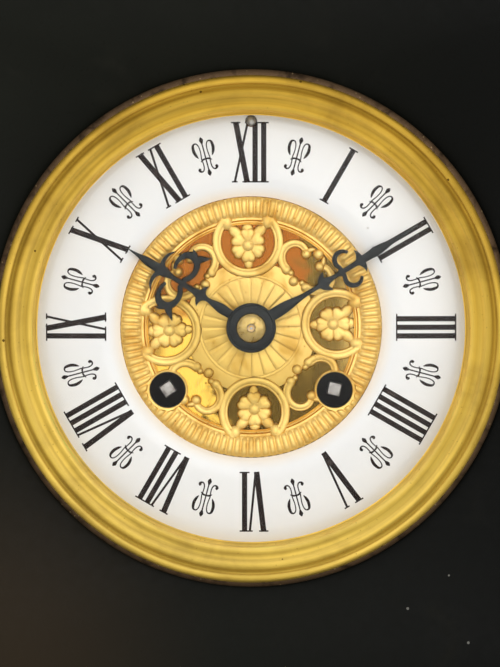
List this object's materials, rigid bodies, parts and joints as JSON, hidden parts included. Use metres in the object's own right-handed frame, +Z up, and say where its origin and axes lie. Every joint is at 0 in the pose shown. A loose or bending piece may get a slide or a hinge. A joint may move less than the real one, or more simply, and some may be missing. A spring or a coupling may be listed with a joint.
{
  "type": "mantel clock",
  "caption": "Black slate mantel clock with an enamel dial, pierced gilt centre, hinged glazed bezel and a striking pendulum movement.",
  "frame": {"origin": "middle of the footprint, on the plane that the plinth stands on", "axes": "+Z up, the dial faces -Y, +X to the right as the dial is read"},
  "size_m": [0.25, 0.142, 0.279],
  "materials": {
    "slate": "polished black slate",
    "gilt": "gilt",
    "brass": "lacquered brass",
    "steel": "polished steel",
    "blued_steel": "blued steel",
    "enamel": "glossy white enamel",
    "glass": "clear flat glass",
    "bell_metal": "cast bell metal"
  },
  "bodies": {
    "case": {"plinth": "slate", "base_moulding": "slate", "front_slab": "slate", "left_side_slab": "slate", "right_side_slab": "slate", "back_slab": "slate", "cornice_moulding": "slate", "top_slab": "slate", "cap_block": "slate", "dial_mount_ring": "brass", "bezel_hinge_pin": "brass", "enamel_chapter_ring": "enamel", "dial_back_plate": "brass", "gilt_dial_centre": "gilt", "front_plate": "brass", "back_plate": "brass", "pillar_1": "brass", "pillar_2": "brass", "pillar_3": "brass", "pillar_4": "brass", "back_cock": "brass", "suspension_spring": "steel", "bell": "bell_metal", "bell_stand": "steel", "rear_ring": "brass", "left_strap": "brass", "right_strap": "brass"},
    "bezel": {"bezel_ring": "gilt", "bezel_glass": "glass"},
    "rear_door": {"rear_door": "brass"},
    "centre": {"centre_wheel": "brass", "cannon_pinion": "steel", "minute_hand": "blued_steel", "hand_washer": "brass"},
    "hour": {"hour_wheel": "brass", "hour_hand": "blued_steel"},
    "minute_wheel": {"minute_wheel": "brass"},
    "going_barrel": {"going_barrel": "brass"},
    "going_winding_arbor": {"going_winding_arbor": "steel"},
    "going_click": {"going_click": "steel"},
    "second_wheel": {"second_wheel": "brass"},
    "third_wheel": {"third_wheel": "brass"},
    "escape_wheel": {"escape_wheel": "brass"},
    "pallets": {"pallet_anchor": "steel"},
    "pendulum": {"pendulum_rod": "brass", "pendulum_bob": "brass"},
    "strike_barrel": {"strike_barrel": "brass"},
    "strike_winding_arbor": {"strike_winding_arbor": "steel"},
    "strike_click": {"strike_click": "steel"},
    "count_arbor": {"strike_second_wheel": "brass", "count_wheel": "brass"},
    "pin_wheel": {"pin_wheel": "brass"},
    "locking_wheel": {"locking_wheel": "brass"},
    "warning_wheel": {"warning_wheel": "brass"},
    "fly": {"fly": "brass"},
    "hammer": {"hammer": "steel"},
    "locking_lever": {"locking_lever": "steel"},
    "regulator_arbor": {"regulator_arbor": "steel"},
    "regulator_screw": {"regulator_screw": "steel"},
    "suspension_block": {"suspension_block": "brass"}
  },
  "joints": [
    {"name": "bezel_hinge", "type": "hinge", "parent": "case", "child": "bezel", "pos_m": [0.0706, -0.0549, 0.1424], "axis": [0, 0, 1], "range_deg": [0, 105]},
    {"name": "rear_door_hinge", "type": "hinge", "parent": "case", "child": "rear_door", "pos_m": [-0.0645, 0.0647, 0.1424], "axis": [0, 0, 1], "range_deg": [0, 110]},
    {"name": "minute_hand_turn", "type": "hinge", "parent": "case", "child": "centre", "pos_m": [0, -0.053, 0.1424], "axis": [0, 1, 0], "continuous": true},
    {"name": "hour_hand_turn", "type": "hinge", "parent": "case", "child": "hour", "pos_m": [0, -0.053, 0.1424], "axis": [0, 1, 0], "continuous": true},
    {"name": "minute_wheel_turn", "type": "hinge", "parent": "case", "child": "minute_wheel", "pos_m": [0.01039, -0.053, 0.1484], "axis": [0, 1, 0], "continuous": true},
    {"name": "second_wheel_turn", "type": "hinge", "parent": "case", "child": "second_wheel", "pos_m": [0.01679, -0.053, 0.14888], "axis": [0, 1, 0], "continuous": true},
    {"name": "going_barrel_turn", "type": "hinge", "parent": "case", "child": "going_barrel", "pos_m": [0.0222, -0.053, 0.1257], "axis": [0, 1, 0], "continuous": true},
    {"name": "third_wheel_turn", "type": "hinge", "parent": "case", "child": "third_wheel", "pos_m": [-0.00967, -0.053, 0.15562], "axis": [0, 1, 0], "continuous": true},
    {"name": "escape_wheel_turn", "type": "hinge", "parent": "case", "child": "escape_wheel", "pos_m": [0, -0.053, 0.1658], "axis": [0, 1, 0], "continuous": true},
    {"name": "pendulum_swing", "type": "hinge", "parent": "case", "child": "pendulum", "pos_m": [0, 0.0078, 0.1784], "axis": [0, 1, 0], "range_deg": [-3, 3]},
    {"name": "pallets_swing", "type": "hinge", "parent": "case", "child": "pallets", "pos_m": [0, -0.013, 0.1784], "axis": [0, 1, 0], "range_deg": [-3, 3]},
    {"name": "going_winding", "type": "hinge", "parent": "case", "child": "going_winding_arbor", "pos_m": [0.0222, -0.053, 0.1257], "axis": [0, 1, 0], "continuous": true},
    {"name": "going_click_lift", "type": "hinge", "parent": "case", "child": "going_click", "pos_m": [0.0338, -0.0403, 0.12029], "axis": [0, 1, 0], "range_deg": [0, 9], "stiffness_Nm_per_rad": 0.0005, "springref_deg": -5.73},
    {"name": "strike_run", "type": "hinge", "parent": "case", "child": "pin_wheel", "pos_m": [-0.02636, -0.053, 0.15985], "axis": [0, 1, 0], "continuous": true},
    {"name": "count_arbor_turn", "type": "hinge", "parent": "case", "child": "count_arbor", "pos_m": [-0.03222, -0.053, 0.14729], "axis": [0, 1, 0], "continuous": true},
    {"name": "strike_barrel_turn", "type": "hinge", "parent": "case", "child": "strike_barrel", "pos_m": [-0.0222, -0.053, 0.1257], "axis": [0, 1, 0], "continuous": true},
    {"name": "locking_wheel_turn", "type": "hinge", "parent": "case", "child": "locking_wheel", "pos_m": [-0.02073, -0.053, 0.17044], "axis": [0, 1, 0], "continuous": true},
    {"name": "warning_wheel_turn", "type": "hinge", "parent": "case", "child": "warning_wheel", "pos_m": [-0.01165, -0.053, 0.17375], "axis": [0, 1, 0], "continuous": true},
    {"name": "fly_turn", "type": "hinge", "parent": "case", "child": "fly", "pos_m": [-0.00751, -0.053, 0.18092], "axis": [0, 1, 0], "continuous": true},
    {"name": "strike_winding", "type": "hinge", "parent": "case", "child": "strike_winding_arbor", "pos_m": [-0.0222, -0.053, 0.1257], "axis": [0, 1, 0], "continuous": true},
    {"name": "strike_click_lift", "type": "hinge", "parent": "case", "child": "strike_click", "pos_m": [-0.0338, -0.0403, 0.12029], "axis": [0, -1, 0], "range_deg": [0, 9], "stiffness_Nm_per_rad": 0.0005, "springref_deg": -5.73},
    {"name": "hammer_lift", "type": "hinge", "parent": "case", "child": "hammer", "pos_m": [-0.0445, -0.023, 0.1394], "axis": [0, -1, 0], "range_deg": [0, 12], "stiffness_Nm_per_rad": 0.004, "springref_deg": -17.19},
    {"name": "locking_lever_lift", "type": "hinge", "parent": "case", "child": "locking_lever", "pos_m": [-0.044, -0.013, 0.1558], "axis": [0, -1, 0], "range_deg": [0, 6], "stiffness_Nm_per_rad": 0.002, "springref_deg": -17.19},
    {"name": "regulator_turn", "type": "hinge", "parent": "case", "child": "regulator_arbor", "pos_m": [0, -0.023, 0.1971], "axis": [0, 1, 0], "range_deg": [-721, 721]},
    {"name": "regulator_screw_turn", "type": "hinge", "parent": "case", "child": "regulator_screw", "pos_m": [0, 0.0046, 0.1924], "axis": [0, 0, 1], "range_deg": [-721, 721]},
    {"name": "suspension_block_slide", "type": "slide", "parent": "case", "child": "suspension_block", "axis": [0, 0, 1], "range_m": [-0.001, 0.001]}
  ],
  "couplings": [
    {"joint": "hour_hand_turn", "follows": "minute_hand_turn", "ratio": 0.083333},
    {"joint": "minute_wheel_turn", "follows": "minute_hand_turn", "ratio": -0.33333},
    {"joint": "second_wheel_turn", "follows": "minute_hand_turn", "ratio": -0.2},
    {"joint": "going_barrel_turn", "follows": "minute_hand_turn", "ratio": 0.033333},
    {"joint": "third_wheel_turn", "follows": "minute_hand_turn", "ratio": -12},
    {"joint": "escape_wheel_turn", "follows": "minute_hand_turn", "ratio": 144},
    {"joint": "pallets_swing", "follows": "pendulum_swing", "ratio": 1},
    {"joint": "count_arbor_turn", "follows": "strike_run", "ratio": -0.1},
    {"joint": "strike_barrel_turn", "follows": "strike_run", "ratio": 0.016667},
    {"joint": "locking_wheel_turn", "follows": "strike_run", "ratio": -9},
    {"joint": "warning_wheel_turn", "follows": "strike_run", "ratio": 54},
    {"joint": "fly_turn", "follows": "strike_run", "ratio": -270},
    {"joint": "regulator_turn", "follows": "suspension_block_slide", "rad_per_m": 12566},
    {"joint": "regulator_screw_turn", "follows": "suspension_block_slide", "rad_per_m": -12566}
  ]
}
